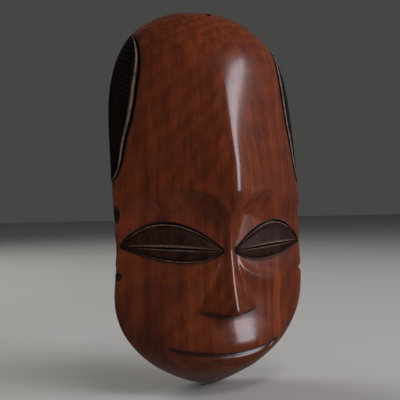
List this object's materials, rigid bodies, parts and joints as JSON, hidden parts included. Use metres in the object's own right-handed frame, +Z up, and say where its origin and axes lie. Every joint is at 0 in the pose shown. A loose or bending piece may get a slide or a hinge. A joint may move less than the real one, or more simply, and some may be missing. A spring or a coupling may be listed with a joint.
{
  "type": "carved wooden wall mask",
  "caption": "Long oval carved wooden wall mask with a keeled forehead, coffee-bean eyes, hatched hair panels and a hollow back.",
  "frame": {"origin": "middle of the hanging bore under the crown", "axes": "+Z up the face, the face looks along -Y, +X to the right as seen from the front"},
  "size_m": [0.1644, 0.0722, 0.3011],
  "materials": {
    "carved_wood": "polished",
    "stained_wood": "satin"
  },
  "bodies": {
    "root": {"mask_body": "carved_wood", "right_upper_eyelid": "stained_wood", "right_lower_eyelid": "stained_wood", "right_hair_panel": "stained_wood", "right_ear": "carved_wood", "left_upper_eyelid": "stained_wood", "left_lower_eyelid": "stained_wood", "left_hair_panel": "stained_wood", "left_ear": "carved_wood"}
  },
  "joints": []
}
